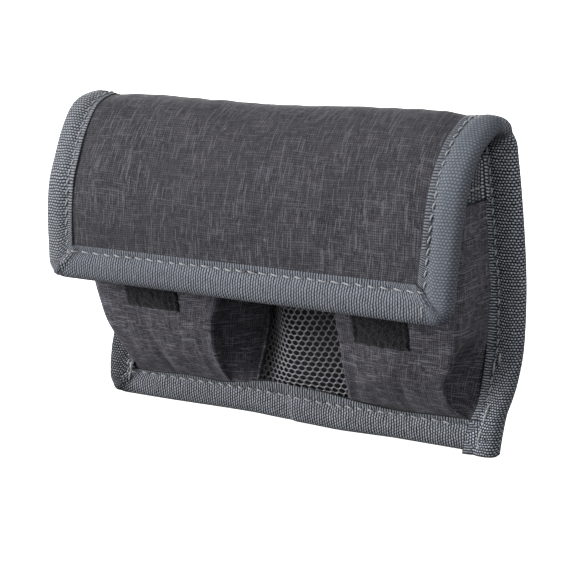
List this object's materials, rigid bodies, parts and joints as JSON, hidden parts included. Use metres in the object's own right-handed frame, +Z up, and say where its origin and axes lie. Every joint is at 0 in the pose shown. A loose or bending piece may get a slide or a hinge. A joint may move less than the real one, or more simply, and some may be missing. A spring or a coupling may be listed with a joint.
{
  "type": "camera battery pouch",
  "caption": "Flat padded pouch with two bulging battery pockets, a net slot between them and a taped flap that folds over from the back panel.",
  "frame": {"origin": "middle of the pouch's footprint at the bottom edge it stands on", "axes": "+X to the right seen from the front, +Y to the back panel, -Y is the front with the flap, +Z up"},
  "size_m": [0.132, 0.034, 0.0917],
  "materials": {
    "heather_cloth": "matt heather weave with light and dark slubs",
    "foam": "soft open-cell padding, hidden inside",
    "lining_cloth": "plain smooth lining weave",
    "binding_tape": "ribbed woven tape, matt",
    "hook_and_loop": "dull pile with a flat selvedge",
    "air_mesh": "open knitted net",
    "sewing_thread": "twisted thread with a slight sheen"
  },
  "bodies": {
    "pouch": {"back_cover": "heather_cloth", "back_foam": "foam", "back_lining": "lining_cloth", "side_binding_left": "binding_tape", "side_binding_right": "binding_tape", "bottom_binding": "binding_tape", "side_thread_left": "sewing_thread", "side_thread_right": "sewing_thread", "bottom_thread": "sewing_thread", "pocket_left": "heather_cloth", "pocket_right": "heather_cloth", "pocket_hem_left": "binding_tape", "pocket_hem_right": "binding_tape", "loop_patch_left": "hook_and_loop", "loop_patch_right": "hook_and_loop", "mesh_panel": "air_mesh", "mesh_hem": "binding_tape"},
    "flap": {"flap_cover": "heather_cloth", "flap_foam": "foam", "flap_lining": "lining_cloth", "flap_binding": "binding_tape", "flap_thread": "sewing_thread", "hook_patch_left": "hook_and_loop", "hook_patch_right": "hook_and_loop"}
  },
  "joints": [
    {"name": "flap_hinge", "type": "hinge", "parent": "pouch", "child": "flap", "pos_m": [0, 0.01705, 0.085], "axis": [-1, 0, 0], "range_deg": [-5, 170]}
  ]
}
